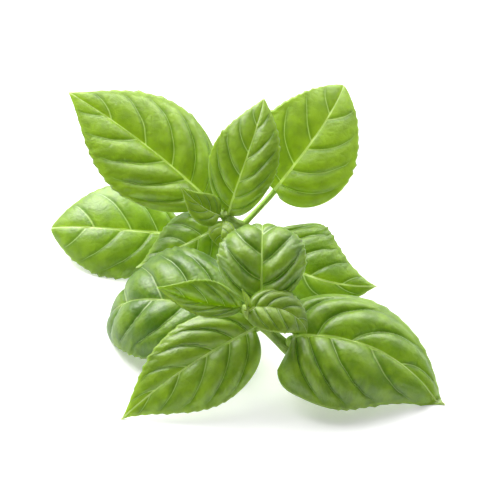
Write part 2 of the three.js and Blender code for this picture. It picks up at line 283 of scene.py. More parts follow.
def use_group(tree, group, inputs):
    """Places a shader group in a tree, as a Wire from its first output."""
    made = tree.nodes.new("ShaderNodeGroup")
    made.node_tree = group
    for label, value in inputs.items():
        plug(tree, made.inputs[label], value)
    return Wire(tree, made.outputs[0])


print("group helpers ready")

# %% Making a mesh with a tree
def placed(name, data):
    """A new object in the scene, at the origin."""
    made = bpy.data.objects.new(name, data)
    bpy.context.scene.collection.objects.link(made)
    return made


def line_mesh(name, points, **marks):
    """A mesh of points joined in a line, in metres. Each mark is a list of one number for each point."""
    mesh = bpy.data.meshes.new(name)
    mesh.from_pydata([tuple(p) for p in points], [(i, i + 1) for i in range(len(points) - 1)], [])
    for mark, values in marks.items():
        mesh.attributes.new(mark, "FLOAT", "POINT").data.foreach_set("value", values)
    return placed(name, mesh)


def grown(source, tree, values):
    """Runs a Geometry Nodes tree on an object, and leaves its result as the object's own plain mesh."""
    modifier = source.modifiers.new(tree.name, "NODES")
    modifier.node_group = tree
    for item in tree.interface.items_tree:
        if item.in_out == "INPUT" and item.name in values:
            modifier[item.identifier] = values[item.name]
    depsgraph = bpy.context.evaluated_depsgraph_get()
    mesh = bpy.data.meshes.new_from_object(
        source.evaluated_get(depsgraph), preserve_all_data_layers=True, depsgraph=depsgraph
    )
    source.modifiers.clear()
    source.data = mesh
    mesh.name = source.name
    return source


def joined(name, objects):
    """Several meshes as one piece."""
    with bpy.context.temp_override(active_object=objects[0], selected_editable_objects=objects):
        bpy.ops.object.join()
    objects[0].name = objects[0].data.name = name
    return objects[0]


print("mesh helpers ready")

# %% [markdown]
# ## The green surfaces
# A basil leaf is thin and full of water, so light passes through it, and its waxy skin has a soft sheen.
# Its midrib and side veins are paler than the blade, its edge is a little yellower, and a fine net of veins
# lies between them. A painted picture would need one for each leaf. Here the blade's mesh carries where
# each point is on the leaf, so one group of nodes draws the veins on every leaf, large or small.

# %% Shader group: the veins
NARROWING = 0.6  # how much of its width a vein loses by its far end
MIDRIB_CORE, MIDRIB_RIM = 0.4, 0.7  # the midrib's soft edge, against its width
VEIN_CORE, VEIN_RIM = 0.25, 0.6  # a side vein's
VEIN_FADE = 0.7, 0.95  # where side veins fade out, on the way from the midrib, 0, to the margin, 1
SHADE_FADE = 0.75, 1.0  # where the painted shade in the dips beside them fades out
SOFT_EDGE = 0.1  # mm


def vein_group():
    tree, given = new_group(
        "ShaderNodeTree", "basil veins",
        {
            "Blade": ("Vector", None),  # across from -1 to 1, counting side veins, share of the length
            "Span": ("Vector", None),  # half width in mm, side veins' spacing in mm, 1 on the upper face
            "Size": ("Float", 1.0),  # 1 on a large leaf, and less on a small one, whose veins are finer
            "Midrib Width": ("Float", 1.25),  # the widths are in mm
            "Vein Width": ("Float", 0.5),
            "Margin Width": ("Float", 0.8),
            "Shade Width": ("Float", 1.1),
        },
        {"Midrib": "Float", "Side Veins": "Float", "Margin": "Float", "Shade Beside Veins": "Float"},
    )
    across, count, share = parts(given["Blade"])
    half, spacing, _ = parts(given["Span"])
    out = math_of("ABSOLUTE", across)
    width = given["Midrib Width"] * given["Size"] * (1.0 - share * NARROWING)
    midrib = 1.0 - ramp(out * half, width * MIDRIB_CORE, width * MIDRIB_RIM)
    from_vein = math_of("ABSOLUTE", count - math_of("ROUND", count)) * spacing
    width = given["Vein Width"] * given["Size"] * (1.0 - out * NARROWING)
    vein = (1.0 - ramp(from_vein, width * VEIN_CORE, width * VEIN_RIM)) * (1.0 - ramp(out, *VEIN_FADE))
    # A mask for painted shade: the colour is darkened in the dip beside each side vein, where shade falls.
    width = given["Shade Width"] * given["Size"]
    vein_shade = (1.0 - ramp(from_vein, SOFT_EDGE, width)) * (1.0 - ramp(out, *SHADE_FADE))
    margin = 1.0 - ramp((1.0 - out) * half, SOFT_EDGE, given["Margin Width"])
    close_group(tree, {"Midrib": midrib, "Side Veins": vein, "Margin": margin, "Shade Beside Veins": vein_shade})
    return tree


VEINS = vein_group()

# %% Shader group: the fine net between the veins
FINE_MESHES = 3.1  # small meshes of the net along the side of a large one
NET_LINE = 0.1  # how wide the net's lines are, against a mesh
MESH_SLOPE, FINE_SLOPE = 0.35, 0.3  # how far from its lines a mesh rises
FINE_HEIGHT = 0.35  # how high a small mesh swells, against a large one
MOTTLE_SCALE = 0.45


def net_group():
    tree, given = new_group(
        "ShaderNodeTree", "fine vein net",
        {"Place": ("Vector", None), "Mesh Size": ("Float", 2.2)},  # both in mm
        {"Net": "Float", "Height": "Float", "Mottle": "Float"},
    )
    place = given["Place"] * (1.0 / given["Mesh Size"])
    large, fine = (
        node(tree, "ShaderNodeTexVoronoi", {"Vector": place, "Scale": scale}, feature="DISTANCE_TO_EDGE")
        for scale in (1.0, FINE_MESHES)
    )
    net = 1.0 - ramp(large, 0.0, NET_LINE)
    height = ramp(large, 0.0, MESH_SLOPE) + ramp(fine, 0.0, FINE_SLOPE) * FINE_HEIGHT
    mottle = node(tree, "ShaderNodeTexNoise", {"Vector": place, "Scale": MOTTLE_SCALE, "Detail": 3.0})
    close_group(tree, {"Net": net, "Height": height, "Mottle": mottle})
    return tree


NET = net_group()

# %% [markdown]
# ## Colours and materials
# An old leaf is a deep green and a young one a fresh lime. The light that comes through a blade is yellower
# than the light that its skin sends back, so each has its own colours. They are linear values, red, green
# and blue.

# %% Colours
LEAF_OLD = (0.110, 0.225, 0.005, 1)
LEAF_YOUNG = (0.440, 0.630, 0.018, 1)
LEAF_PAINTED_SHADE = (0.060, 0.170, 0.002, 1)  # painted shade, for the dips beside the veins
VEIN_PALE = (0.880, 1.000, 0.460, 1)
MARGIN_LIME = (0.560, 0.800, 0.050, 1)
UNDERSIDE = (0.400, 0.600, 0.140, 1)
GLOW_OLD = (0.330, 0.520, 0.003, 1)
GLOW_YOUNG = (0.480, 0.610, 0.004, 1)
GLOW_BRIGHT = (0.680, 0.860, 0.006, 1)
# painted shade in the light that comes through, beside the veins
GLOW_PAINTED_SHADE = (0.200, 0.390, 0.001, 1)
STALK_LIME = (0.400, 0.640, 0.060, 1)
STEM_GREEN = (0.360, 0.550, 0.060, 1)
STEM_DARK = (0.220, 0.360, 0.030, 1)
STEM_THREAD = (0.640, 0.800, 0.250, 1)
PITH_GREEN = (0.560, 0.760, 0.260, 1)
PITH_PALE = (0.860, 0.930, 0.620, 1)


def colour_mix(factor, low, high):
    """A colour that goes from low to high as the factor goes from 0 to 1."""
    made = factor.tree.nodes.new("ShaderNodeMix")
    made.data_type = "RGBA"
    for place, value in ((0, factor), (6, low), (7, high)):
        plug(factor.tree, made.inputs[place], value)
    return Wire(factor.tree, made.outputs[2])


def new_material(name, constants):
    """A material, its tree and its Principled BSDF, with the constants set on that shader's inputs."""
    material = bpy.data.materials.new(name)
    material.use_nodes = True
    skin = material.node_tree.nodes["Principled BSDF"]
    for label, value in constants.items():
        skin.inputs[label].default_value = value
    print("material:", name)
    return material, material.node_tree, skin


def attribute(tree, name, output=2):
    """A value that the mesh carries. Output 1 reads it as a vector, and output 2 as a number."""
    return node(tree, "ShaderNodeAttribute", attribute_name=name, output=output)


print("colours ready")

# %% [markdown]
# ## The blade's material
# A leaf seen against the light shines through, so one shader isn't enough. A Principled BSDF is its waxy
# skin, and a Translucent BSDF lets through the light that falls on the other face. A Mix Shader shares the
# light between them.

# %% The blade's colours
MOTTLE_RANGE = 0.3, 0.7  # from the dull patches to the bright ones
PATCHES, NET_LINES, MARGINS, SIDE_VEINS = 0.55, 0.1, 0.7, 0.5  # how strongly each colours the skin
PATCHES_GLOW, SIDE_VEINS_GLOW = 0.4, 0.75  # and the light that comes through
SHADE_UNDER, SHADE_UPPER = 0.15, 0.65  # how dark the painted shade in the dips beside the veins is, on each face
SHADE_YOUNG, SHADE_OLD = 0.55, 1.15  # on a leaf of each age
# how dark that painted shade in the light that comes through is, on a leaf of each age
SHADE_YOUNG_GLOW, SHADE_OLD_GLOW = 0.35, 0.65


def skin_colour(age, upper, patches, net, veins):
    """The colour of the light that the skin sends back, with painted shade beside the side veins."""
    midrib, side, margin, vein_shade = veins
    green = colour_mix(age, LEAF_YOUNG, LEAF_OLD)
    patchy = colour_mix(patches * PATCHES, green, colour_mix(age, MARGIN_LIME, LEAF_YOUNG))
    face = colour_mix(upper, UNDERSIDE, patchy)
    # Painted shade: the dips beside the side veins are darkened, more on the upper face.
    dark = vein_shade * mix(SHADE_UNDER, SHADE_UPPER, upper) * mix(SHADE_YOUNG, SHADE_OLD, age)
    netted = colour_mix(net * age * NET_LINES, colour_mix(dark, face, LEAF_PAINTED_SHADE), VEIN_PALE)
    edged = colour_mix(margin * MARGINS, netted, MARGIN_LIME)
    return colour_mix(midrib, colour_mix(side * SIDE_VEINS, edged, VEIN_PALE), VEIN_PALE)


def glow_colour(age, patches, veins):
    """The colour of the light that comes through the blade, which is yellower, with painted shade beside the
    side veins.
    """
    midrib, side, _, vein_shade = veins
    flesh = colour_mix(patches * PATCHES_GLOW, colour_mix(age, GLOW_YOUNG, GLOW_OLD), GLOW_BRIGHT)
    # Painted shade: the light through the blade is darkened beside the side veins.
    thin = colour_mix(vein_shade * mix(SHADE_YOUNG_GLOW, SHADE_OLD_GLOW, age), flesh, GLOW_PAINTED_SHADE)
    return colour_mix(midrib + side * SIDE_VEINS_GLOW, thin, VEIN_PALE)


print("blade colours ready")

# %% Material: the blade
BLADE_SKIN = {
    "Specular IOR Level": 0.8,
    "Coat Weight": 1.0, "Coat Roughness": 0.4, "Coat IOR": 1.6,
    "Sheen Weight": 0.4, "Sheen Roughness": 0.4, "Sheen Tint": (0.85, 0.95, 1.0, 1),
}
SMOOTHEST, MOTTLE_ROUGHNESS, UNDER_ROUGHNESS = 0.30, 0.2, 0.15
MOTTLE_HEIGHT, BLADE_BUMPS = 0.6, 0.4
BUMP_HEIGHT = 0.2 * MM  # on the blades and on the stems
GLOW_SHARE = 0.55  # how much of the light is the glow's, and not the skin's


def blade_material(name):
    material, tree, skin = new_material(name, BLADE_SKIN)
    blade, span, place = (attribute(tree, label, output=1) for label in ("blade", "span", "place"))
    age, upper = attribute(tree, "age"), parts(span)[2]
    midrib = use_group(tree, VEINS, {"Blade": blade, "Span": span, "Size": attribute(tree, "size")})
    veins = midrib, midrib.also(1), midrib.also(2), midrib.also(3)
    net = use_group(tree, NET, {"Place": place})
    height, mottle = net.also(1), net.also(2)
    patches = ramp(mottle, *MOTTLE_RANGE)
    bumps = node(
        tree, "ShaderNodeBump",
        {"Height": height + mottle * MOTTLE_HEIGHT, "Strength": BLADE_BUMPS, "Distance": BUMP_HEIGHT},
    )
    roughness = SMOOTHEST + mottle * MOTTLE_ROUGHNESS + (1.0 - upper) * UNDER_ROUGHNESS
    plug(tree, skin.inputs["Base Color"], skin_colour(age, upper, patches, net, veins))
    plug(tree, skin.inputs["Roughness"], roughness)
    plug(tree, skin.inputs["Normal"], bumps)
    glow_green = glow_colour(age, patches, veins)
    glow = node(tree, "ShaderNodeBsdfTranslucent", {"Color": glow_green, "Normal": bumps})
    both = node(tree, "ShaderNodeMixShader", [GLOW_SHARE, Wire(tree, skin.outputs[0]), glow])
    plug(tree, tree.nodes["Material Output"].inputs["Surface"], both)
    return material


BLADE = blade_material("basil leaf")

# %% [markdown]
# ## The material of stems and leafstalks
# A basil stem is juicy and a little see-through, with long pale threads and small specks. Light scatters
# inside it, which Subsurface does. Where it was cut it shows a green rim, a ring of darker vessels and pale
# pith.

# %% Material: stems and leafstalks
STEM_SKIN = {"Subsurface Weight": 0.3, "Subsurface Radius": (0.8, 1.0, 0.2), "Subsurface Scale": 1.5 * MM}
THREADS_AROUND, THREADS_ALONG = 4.0, 0.25  # how fast the threads change round the stem, and along each mm
THREAD_SCALE, GRAIN_SCALE, CLOUD_SCALE, SPECK_SCALE = 1.6, 2500.0, 160.0, 900.0
THREADS, SPECKS = 0.45, 0.35  # how strongly each colours the stem
STEM_SMOOTHEST, GRAIN_ROUGHNESS, GRAIN_HEIGHT, STEM_BUMPS = 0.34, 0.25, 0.25, 0.7
# On the cut end each part fades in between two depths, from the rim, 0, to the middle, 1.
CUT_FADE, VESSEL_FADE, VESSEL_END, PITH_FADE = (0.06, 0.12), (0.12, 0.18), (0.3, 0.38), (0.3, 0.5)


def stem_material(name, pale, dark):
    material, tree, skin = new_material(name, STEM_SKIN)
    around, along, pith = (attribute(tree, label) for label in ("around", "along", "pith"))
    where = node(tree, "ShaderNodeTexCoord", output="Object")
    # Long threads run along the stem: noise that changes fast around it and slowly along it.
    round_it = [math_of(turn, around) * THREADS_AROUND for turn in ("COSINE", "SINE")]
    drawn_out = combine(tree, *round_it, along * THREADS_ALONG)
    thread = node(tree, "ShaderNodeTexNoise", {"Vector": drawn_out, "Scale": THREAD_SCALE, "Detail": 3.0})
    grain, cloud = (
        node(tree, "ShaderNodeTexNoise", {"Vector": where, "Scale": scale, "Detail": 2.0})
        for scale in (GRAIN_SCALE, CLOUD_SCALE)
    )
    speck = node(tree, "ShaderNodeTexVoronoi", {"Vector": where, "Scale": SPECK_SCALE})
    green = colour_mix(ramp(cloud, 0.35, 0.65), pale, dark)
    threaded = colour_mix(ramp(thread, 0.5, 0.7) * THREADS, green, STEM_THREAD)
    dotted = colour_mix((1.0 - ramp(speck, 0.1, 0.2)) * SPECKS, threaded, STEM_THREAD)
    vessel = ramp(pith, *VESSEL_FADE) * (1.0 - ramp(pith, *VESSEL_END)) * (1.0 - ramp(speck, 0.2, 0.45))
    cut = colour_mix(vessel, colour_mix(ramp(pith, *PITH_FADE), PITH_GREEN, PITH_PALE), dark)
    bumps = node(
        tree, "ShaderNodeBump",
        {"Height": thread + grain * GRAIN_HEIGHT, "Strength": STEM_BUMPS, "Distance": BUMP_HEIGHT},
    )
    plug(tree, skin.inputs["Base Color"], colour_mix(ramp(pith, *CUT_FADE), dotted, cut))
    plug(tree, skin.inputs["Roughness"], STEM_SMOOTHEST + grain * GRAIN_ROUGHNESS)
    plug(tree, skin.inputs["Normal"], bumps)
    return material


STALK = stem_material("basil stalk", STALK_LIME, STEM_GREEN)
STEM = stem_material("basil stem", STEM_GREEN, STEM_DARK)

# %% [markdown]
# ## A blade that follows its midrib
# Every leaf is one shape with other sizes, so one Geometry Nodes tree makes them all. It lays a grid along
# the midrib, bends it to the leaf's outline, and swells it between the side veins. The upper face then
# sinks where a vein runs, and the under face stands out there, as on a real leaf. Both faces meet in a thin
# edge, so the blade is closed all round.

# %% The blade's inputs
BLADE_INPUTS = {
    "Midrib": ("Geometry", None),
    "Length": ("Float", 0.05),
    "Left Half": ("Float", 0.02), "Right Half": ("Float", 0.02),
    "Left Lobe": ("Float", 0.0), "Right Lobe": ("Float", 0.0),
    "Left Slope": ("Float", 0.0), "Right Slope": ("Float", 0.0),
    "Left Bend": ("Float", 0.1), "Right Bend": ("Float", 0.1),
    "Belly": ("Float", 0.8), "Base": ("Float", 0.6), "Point": ("Float", 0.5),
    "Roll": ("Float", 0.0),
    "Veins": ("Int", 6), "Stagger": ("Float", 0.0), "Lean": ("Float", 1.6),
    "Rows": ("Int", 160), "Columns": ("Int", 36),
    "Thickness": ("Float", 0.5 * MM),
    "Tooth Depth": ("Float", 0.675 * MM),
    "Quilt": ("Float", 1.0),
    "Age": ("Float", 0.5),
    "Seed": ("Float", 0.0),
    "Material": ("Material", None),
}
print("a blade has", len(BLADE_INPUTS), "inputs")


# %% Marks on a mesh
def marked(tree, geometry, name, value, kind="FLOAT", domain="POINT"):
    """Stores a value on a mesh under a name."""
    return node(
        tree, "GeometryNodeStoreNamedAttribute",
        {"Geometry": geometry, "Name": name, "Value": value}, data_type=kind, domain=domain,
    )


def read(tree, name, kind="FLOAT"):
    return node(tree, "GeometryNodeInputNamedAttribute", {"Name": name}, data_type=kind)


print("marks ready")

# %% The blade's tree: a flat grid
MIDRIB_CROWDING = 1.3  # above 1, columns stand closer together by the midrib, where its ridge needs them
FOOT_CROWDING = 0.2  # the lower, the closer together rows stand by the foot


def blade_grid(tree, given):
    """A flat grid. Each point knows its column, from right, -1, to left, 1, and its share of the length."""
    grid = node(
        tree, "GeometryNodeMeshGrid",
        [2.0, 1.0, given["Columns"] * 2.0 + 1.0, given["Rows"] + 1.0],
    )
    x, y, _ = parts(node(tree, "GeometryNodeInputPosition"))
    column = math_of("SIGN", x) * (math_of("ABSOLUTE", x) ** MIDRIB_CROWDING) * -1.0
    row = math_of("MAXIMUM", y + 0.5, 0.0)
    grid = marked(tree, grid, "column", column)
    return marked(tree, grid, "share", row * (row + FOOT_CROWDING) / (1 + FOOT_CROWDING))


print("grid ready")

# %% The blade's tree: the outline
START_POWER, END_POWER = 1.6, 0.8  # where rows leave the midrib and reach the margin
VEIN_SPRING = 0.6  # how straight a row sets off before it bends forwards
TIP_HALF_WIDTH = 0.12 * MM


def forwards(start, end, t):
    """How far along the midrib a row is, from where it starts, at t = 0, to where it ends, at t = 1."""
    return start + (end - start) * t * mix(VEIN_SPRING, 1, t)


def outline_at(given, is_left, t, share):
    """A row's place along the midrib, as a share of the length, and its half width."""
    start, edge = share ** START_POWER, share ** END_POWER
    oval = math_of("SINE", (edge ** given["Belly"]) * math.pi)
    reach = math_of("MAXIMUM", oval, 0.0) ** (given["Base"] + given["Point"] * edge)
    lobe = mix(given["Right Lobe"], given["Left Lobe"], is_left)
    end = edge - lobe * math_of("SQRT", reach * (2.0 - reach)) * ((1.0 - edge) ** 2.0)
    half = mix(given["Right Half"], given["Left Half"], is_left) * reach
    return forwards(start, end, t), math_of("MAXIMUM", half, TIP_HALF_WIDTH)


print("outline ready")

# %% The blade's tree: the side veins
VEIN_END, VEIN_ARCH = 0.5, 0.7  # how the side veins lean by the margin, and how soon they arch over
WANDER = 0.4  # how far they stray, against their spacing
SPACING_AT_FOOT, SPACING_AT_TIP, MARGIN_CROWDING = 0.6, 0.9, 0.35


def side_veins(given, is_left, t, share, noise):
    """Counts side veins up from the foot, so that a whole number is on a vein. Also gives their spacing."""
    power = mix(given["Lean"], VEIN_END, t * mix(VEIN_ARCH, 1, t))
    plain_u = math_of("MAXIMUM", forwards(share ** START_POWER, share ** END_POWER, t), 0.0)
    middle = math_of("SINE", share * math.pi)
    stagger = (1.0 - is_left) * given["Stagger"] * middle
    all_veins = given["Veins"] + 1.0
    count = plain_u ** (1.0 / power) * all_veins + stagger + noise * WANDER * middle * t
    closeness = mix(SPACING_AT_FOOT, SPACING_AT_TIP, share) * (1.0 - t * MARGIN_CROWDING)
    return count, given["Length"] / all_veins * closeness


print("side veins ready")

# %% The blade's tree: teeth
TEETH = 15.4  # along each margin
TOOTH_BACK, TOOTH_FRONT = 1.3, 4.0  # a tooth rises slowly, and drops quickly on the side of the tip
LEAST_TOOTH, LARGEST_TOOTH = 0.3, 1.4
FIRST_TOOTH, TOOTH_ONSET = 0.25, 0.07  # the foot's margin is plain
TOOTH_POWER = 1.2  # above 1, the deepest teeth are beyond the middle
LEFT_DRAWS = 40.0  # keeps the left margin's random draws apart from the right one's


def tooth(tree, given, share, is_left):
    """How far a tooth stands out of the margin."""
    beat = share * TEETH
    number = math_of("FLOOR", beat)
    place = beat - number
    rise = math_of("MINIMUM", place * TOOTH_BACK, (1.0 - place) * TOOTH_FRONT)
    each = node(
        tree, "FunctionNodeRandomValue",
        {2: LEAST_TOOTH, 3: LARGEST_TOOTH, "ID": number + is_left * LEFT_DRAWS, "Seed": given["Seed"]},
        output=1, data_type="FLOAT",
    )
    onset = ramp(share, FIRST_TOOTH - TOOTH_ONSET, FIRST_TOOTH + TOOTH_ONSET)
    return rise * each * math_of("SINE", (share ** TOOTH_POWER) * math.pi) * onset * given["Tooth Depth"]


print("teeth on each margin:", round(TEETH))

# %% The blade's tree: the quilting
BRIM = 0.9  # how far out the swelling reaches; beyond it the blade is a plain brim
QUILT_SHARE = 0.09  # how far a blade swells up between two side veins, against its half width
QUILT_POWER = 0.8  # below 1, the swelling is highest nearer the midrib
ROUNDNESS = 0.7  # below 1, a swelling is fuller than a sine wave
RUFFLE_SCALE, RUFFLE_HEIGHT = 260.0, 0.45 * MM


def quilting(tree, given, t, half, count, place):
    """How far the blade stands out between its veins."""
    pillow = math_of("ABSOLUTE", math_of("SINE", count * math.pi)) ** ROUNDNESS
    within = math_of("MINIMUM", t * (1 / BRIM), 1.0) ** QUILT_POWER
    hump = math_of("MAXIMUM", math_of("SINE", within * math.pi), 0.0) ** ROUNDNESS
    waves = node(tree, "ShaderNodeTexNoise", {"Vector": place, "Scale": RUFFLE_SCALE, "Detail": 2.0}) - 0.5
    return hump * given["Quilt"] * (half * pillow * QUILT_SHARE + waves * RUFFLE_HEIGHT)


print("quilting ready")

# %% The blade's tree: its place in space
def frame_at(tree, given, path, u):
    """The midrib's place at a share of its length, and the ways to the left and out of the upper face."""
    inside = node(tree, "ShaderNodeClamp", [u, 0.0, 1.0])
    sample = node(tree, "GeometryNodeSampleCurve", {"Curves": path, "Factor": inside}, output="Position")
    along = vector_of("NORMALIZE", sample.also("Tangent"))
    centre = sample + along * ((u - inside) * given["Length"])
    level = vector_of("NORMALIZE", vector_of("CROSS_PRODUCT", combine(tree, 0, 0, 1), along))
    left = node(
        tree, "ShaderNodeVectorRotate",
        {"Vector": level, "Axis": along, "Angle": given["Roll"]}, rotation_type="AXIS_ANGLE",
    )
    return centre, left, vector_of("CROSS_PRODUCT", along, left)


def arc_at(given, is_left, t, width):
    """A half is an arc across its width. Gives how far out and how high t has come on it."""
    slope = mix(given["Right Slope"], given["Left Slope"], is_left)
    bend = mix(given["Right Bend"], given["Left Bend"], is_left)
    turned = slope + bend * t
    out = (width / bend) * (math_of("SINE", turned) - math_of("SINE", slope))
    rise = (width / bend) * (math_of("COSINE", slope) - math_of("COSINE", turned))
    return out, rise


print("arcs ready")

# %% The blade's tree: the middle surface
LARGE_HALF = 14 * MM  # a blade as wide as this has veins of full width, and a smaller one has finer ones
SMALLEST_SIZE = 0.15
WANDER_SCALE = 90.0
FAR = 99.0  # mm: further off than any vein, for where there is none
SEED_STEP = 0.1  # metres between the parts of the noise that two leaves read


def blade_surface(tree, given):
    """The blade as a sheet with no thickness, which knows where each of its points is on the leaf."""
    path = node(tree, "GeometryNodeMeshToCurve", [given["Midrib"]])
    column, share = read(tree, "column"), read(tree, "share")
    is_left, t = math_of("GREATER_THAN", column, 0.0), math_of("ABSOLUTE", column)
    u, half = outline_at(given, is_left, t, share)
    place = combine(tree, column * half, u * given["Length"], given["Seed"] * SEED_STEP)
    noise = node(tree, "ShaderNodeTexNoise", {"Vector": place, "Scale": WANDER_SCALE, "Detail": 1.0}) - 0.5
    count, spacing = side_veins(given, is_left, t, share, noise)
    is_vein = ramp(count, 0.4, 0.5) * (1.0 - ramp(count - given["Veins"], 0.5, 0.6))
    broadest = math_of("MAXIMUM", given["Left Half"], given["Right Half"])
    size = node(tree, "ShaderNodeClamp", [broadest * (1 / LARGE_HALF), SMALLEST_SIZE, 1.0])
    out, rise = arc_at(given, is_left, t, half + tooth(tree, given, share, is_left) * size * t * t)
    centre, left, face = frame_at(tree, given, path, u)
    quilt = quilting(tree, given, t, half, count, place)
    middle = centre + left * (math_of("SIGN", column) * out) + face * (rise + quilt)

    grid, place_mm = blade_grid(tree, given), place * (1 / MM)
    span = combine(tree, half * (1 / MM), spacing * (1 / MM) + (FAR - is_vein * FAR), 1.0)
    grid = marked(tree, grid, "blade", combine(tree, column, count, share), "FLOAT_VECTOR")
    grid = marked(tree, grid, "place", place_mm, "FLOAT_VECTOR")
    grid = marked(tree, grid, "UVMap", place_mm, "FLOAT2", "CORNER")
    grid = marked(tree, grid, "age", given["Age"])
    grid = marked(tree, grid, "size", size)
    grid = marked(tree, grid, "span", span, "FLOAT_VECTOR")
    return node(tree, "GeometryNodeSetPosition", {"Geometry": grid, "Position": middle})


print("middle surface ready")

# %% The blade's tree: two faces
EDGE_REST = 0.02 * MM  # how far the lowest edge stays off the table
RIM_POWER = 6.0  # the higher, the later the faces come together towards the margin
SLIMMING = 0.75  # how much of its width the midrib loses by the tip
GROOVE_WIDTH, GROOVE_DEPTH, RIB_HEIGHT = 0.45, 0.2, 0.28  # mm: a side vein, from above and from below
CORD_WIDTH, CORD_HEIGHT = 0.5, 0.2  # mm: the midrib from above
KEEL_WIDTH, KEEL_HEIGHT = 0.8, 0.4  # mm: and from below
MERGE_DISTANCE = 0.004 * MM


def near(distance, width):
    """1 on a vein, and less away from it."""
    ratio = distance / width
    return math_of("EXPONENT", ratio * ratio * -1.0)


def face_heights(tree, given):
    """How far the upper and the under face stand off the middle surface, and the blade's thickness there."""
    share, t, size = read(tree, "share"), math_of("ABSOLUTE", read(tree, "column")), read(tree, "size")
    half, spacing, _ = parts(read(tree, "span", "FLOAT_VECTOR"))
    count = parts(read(tree, "blade", "FLOAT_VECTOR"))[1]
    ends = math_of("MINIMUM", share * given["Rows"], (1.0 - share) * given["Rows"])
    closed = node(tree, "ShaderNodeClamp", [ends, 0.0, 1.0])
    rim = math_of("SQRT", math_of("MAXIMUM", 1.0 - t ** RIM_POWER, 0.0)) * closed
    thick, slim = rim * given["Thickness"] * 0.5, 1.0 - share * SLIMMING
    from_vein = math_of("ABSOLUTE", count - math_of("ROUND", count)) * spacing
    vein = near(from_vein, size * GROOVE_WIDTH) * (1.0 - t * t) * closed * size
    cord = near(t * half, slim * size * CORD_WIDTH) * closed * slim * size
    keel = near(t * half, size * KEEL_WIDTH) * closed * slim * size
    above = thick + (cord * CORD_HEIGHT - vein * GROOVE_DEPTH) * MM
    below = thick + (vein * RIB_HEIGHT + keel * KEEL_HEIGHT) * MM
    return above, below, rim * given["Thickness"]


def face_of(tree, sheet, offset, lowest, upper):
    """The sheet moved out along its normals, and nowhere lower than it may lie. upper is 1 or 0."""
    normal = node(tree, "GeometryNodeInputNormal")
    moved = node(tree, "GeometryNodeSetPosition", {"Geometry": sheet, "Offset": normal * offset})
    x, y, z = parts(node(tree, "GeometryNodeInputPosition"))
    rested = combine(tree, x, y, math_of("MAXIMUM", z, lowest))
    moved = node(tree, "GeometryNodeSetPosition", {"Geometry": moved, "Position": rested})
    half, spacing, _ = parts(read(tree, "span", "FLOAT_VECTOR"))
    return marked(tree, moved, "span", combine(tree, half, spacing, upper), "FLOAT_VECTOR")


def finished(tree, geometry, material):
    """Smooth, real and painted: how every tree here ends."""
    smooth = node(tree, "GeometryNodeSetShadeSmooth", {"Geometry": geometry})
    real = node(tree, "GeometryNodeRealizeInstances", [smooth])
    painted = node(tree, "GeometryNodeSetMaterial", {"Geometry": real, "Material": material})
    close_group(tree, {"Geometry": painted})


print("faces ready")

# %% The blade's tree, put together
def blade_tree():
    tree, given = new_group("GeometryNodeTree", "basil blade", BLADE_INPUTS, {"Geometry": "Geometry"})
    sheet = blade_surface(tree, given)
    above, below, apart = face_heights(tree, given)
    top = face_of(tree, sheet, above, apart + EDGE_REST, 1.0)
    under = node(tree, "GeometryNodeFlipFaces", [face_of(tree, sheet, below * -1.0, EDGE_REST, 0.0)])
    whole = tree.nodes.new("GeometryNodeJoinGeometry")
    for part in (under, top):
        tree.links.new(part.socket, whole.inputs[0])
    merged = node(
        tree, "GeometryNodeMergeByDistance",
        {"Geometry": Wire(tree, whole.outputs[0]), "Distance": MERGE_DISTANCE},
    )
    finished(tree, merged, given["Material"])
    return tree


BLADE_TREE = blade_tree()

# %% [markdown]
# ## A tube that follows a path
# Leafstalks and stems are tubes. A basil stem is squarish, with four soft corners, and swells a little at
# each node. A curve with a bevel would give a round tube of even thickness. This tree sweeps a squarish
# outline along a line of points instead, as thick at each point as its mark says.

# %% The tube's tree
SWELLING_NARROWNESS = 5.0  # the higher, the shorter the swelling at a node


def tube_tree():
    tree, given = new_group(
        "GeometryNodeTree", "green tube",
        {
            "Path": ("Geometry", None),
            "Rings": ("Int", 40), "Sides": ("Int", 24),
            "Squareness": ("Float", 0.0), "Swelling": ("Float", 0.0),
            "Material": ("Material", None),
        },
        {"Geometry": "Geometry"},
    )
    path = node(tree, "GeometryNodeMeshToCurve", [given["Path"]])
    curved = node(tree, "GeometryNodeCurveSplineType", {"Curve": path}, spline_type="CATMULL_ROM")
    even = node(tree, "GeometryNodeResampleCurve", {"Curve": curved, "Count": given["Rings"]})
    even = marked(tree, even, "along", node(tree, "GeometryNodeSplineParameter", output=1) * (1 / MM))
    count = read(tree, "count")
    from_node = math_of("ABSOLUTE", count - math_of("ROUND", count))
    swell = given["Swelling"] * near(from_node, 1 / SWELLING_NARROWNESS) + 1.0

    circle = node(tree, "GeometryNodeCurvePrimitiveCircle", {"Resolution": given["Sides"], "Radius": 1.0})
    where = node(tree, "GeometryNodeInputPosition")
    x, y, z = parts(where)
    angle = math_of("ARCTAN2", y, x)
    circle = marked(tree, circle, "around", angle)
    squarish = where * (1.0 - math_of("COSINE", angle * 4.0) * given["Squareness"])
    outline = node(tree, "GeometryNodeSetPosition", {"Geometry": circle, "Position": squarish})
    skin = node(
        tree, "GeometryNodeCurveToMesh",
        {"Curve": even, "Profile Curve": outline, "Scale": read(tree, "radius") * swell, "Fill Caps": True},
    )
    rested = combine(tree, x, y, math_of("MAXIMUM", z, 0.0))
    tube = node(tree, "GeometryNodeSetPosition", {"Geometry": skin, "Position": rested})
    finished(tree, tube, given["Material"])
    return tree


TUBE_TREE = tube_tree()

# %% [markdown]
# ## Growing a leaf
# A path is walked one step at a time: turn, and go on a little. A leaf's midrib turns evenly from its foot
# to its tip, and the blade's tree then follows it. Points set by hand would do as well, but a few angles
# are easier to read and to change.

# %% Walking a path
MIDRIB_STEPS = 48


